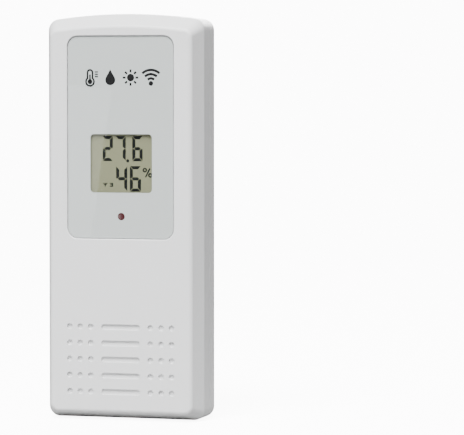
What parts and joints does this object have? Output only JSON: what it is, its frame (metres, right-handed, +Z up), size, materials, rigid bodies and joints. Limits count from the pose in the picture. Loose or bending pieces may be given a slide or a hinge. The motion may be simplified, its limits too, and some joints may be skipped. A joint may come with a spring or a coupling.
{
  "type": "wireless outdoor temperature and humidity sensor",
  "caption": "Slim upright wireless sensor with display window, indicator lamp, pressed grille marks, screwed battery door and wall keyhole.",
  "frame": {"origin": "centre of the outer box on the surface the sensor stands on", "axes": "+X to the right seen from the front, front faces -Y and back +Y, +Z up the long side"},
  "size_m": [0.0524, 0.0244, 0.13],
  "materials": {
    "case_plastic": "satin moulded ABS, near white",
    "clear_plate": "clear polished plastic plate",
    "printed_film": "pale silver grey print",
    "display_glass": "polished display glass",
    "display_reflector": "grey-green reflector film",
    "red_lamp": "dark red diffused lamp, unlit",
    "nickel_screw": "bright nickel plate",
    "tinned_steel": "tinned",
    "white_nylon": "moulded white nylon",
    "strip_rubber": "striped silicone contact strip",
    "board_green": "green solder mask over glass fibre",
    "black_epoxy": "black epoxy",
    "nickel_can": "drawn nickel can",
    "black_sleeve": "black wire sleeve",
    "red_sleeve": "red wire sleeve",
    "grey_sleeve": "grey wire sleeve",
    "capacitor_sleeve": "dark blue sleeve with aluminium top",
    "chip_ceramic": "ceramic chips with tinned ends",
    "black_plastic": "moulded black plastic",
    "grey_plastic": "moulded grey plastic",
    "sensor_cage": "slotted sensor cage",
    "cell_jacket": "printed cell jacket with steel ends",
    "spring_steel": "nickel-plated spring wire",
    "plated_contact": "nickel-plated strip"
  },
  "bodies": {
    "housing": {"front_case": "case_plastic", "rear_case": "case_plastic", "faceplate": "clear_plate", "faceplate_label": "printed_film", "lcd_front_glass": "display_glass", "lcd_rear_glass": "display_glass", "lcd_reflector": "display_reflector", "status_led": "red_lamp", "led_leads": "tinned_steel", "lcd_holder": "white_nylon", "lcd_contact_strip": "strip_rubber", "main_board": "board_green", "controller_blob": "black_epoxy", "radio_board": "board_green", "radio_crystal": "nickel_can", "radio_chip": "black_epoxy", "antenna_wire": "black_sleeve", "watch_crystal": "nickel_can", "electrolytic_capacitor": "capacitor_sleeve", "chip_resistors": "chip_ceramic", "chip_capacitors": "chip_ceramic", "board_screws": "nickel_screw", "reset_switch": "black_plastic", "unit_switch": "black_plastic", "channel_switch": "black_plastic", "sensor_board": "board_green", "humidity_sensor": "sensor_cage", "thermistor": "black_epoxy", "sensor_wires": "grey_sleeve", "spring_left": "spring_steel", "spring_right": "spring_steel", "bridge_contact": "plated_contact", "positive_contact": "plated_contact", "spring_plate": "plated_contact", "positive_wire": "red_sleeve", "negative_wire": "black_sleeve"},
    "door": {"battery_door": "case_plastic"},
    "screw": {"door_screw": "nickel_screw"},
    "reset": {"reset_button": "grey_plastic"},
    "unit": {"unit_button": "grey_plastic"},
    "channel": {"channel_slider": "grey_plastic"},
    "cell_left": {"battery_left": "cell_jacket"},
    "cell_right": {"battery_right": "cell_jacket"}
  },
  "joints": [
    {"name": "door_hinge", "type": "hinge", "parent": "housing", "child": "door", "pos_m": [0, 0.0122, 0.00588], "axis": [-1, 0, 0], "range_deg": [0, 75]},
    {"name": "screw_turn", "type": "hinge", "parent": "door", "child": "screw", "pos_m": [0, 0.0112, 0.08449], "axis": [0, 1, 0], "continuous": true},
    {"name": "reset_press", "type": "slide", "parent": "housing", "child": "reset", "axis": [0, -1, 0], "range_m": [0, 0.0005], "stiffness_N_per_m": 500, "springref_m": -0.001},
    {"name": "unit_press", "type": "slide", "parent": "housing", "child": "unit", "axis": [0, -1, 0], "range_m": [0, 0.0005], "stiffness_N_per_m": 500, "springref_m": -0.001},
    {"name": "channel_slide", "type": "slide", "parent": "housing", "child": "channel", "axis": [1, 0, 0], "range_m": [0, 0.004]},
    {"name": "cell_left_push", "type": "slide", "parent": "housing", "child": "cell_left", "axis": [0, 0, -1], "range_m": [0, 0.0025], "stiffness_N_per_m": 600, "springref_m": -0.003, "deforming": ["spring_left"]},
    {"name": "cell_right_push", "type": "slide", "parent": "housing", "child": "cell_right", "axis": [0, 0, 1], "range_m": [0, 0.0025], "stiffness_N_per_m": 600, "springref_m": -0.003, "deforming": ["spring_right"]}
  ]
}
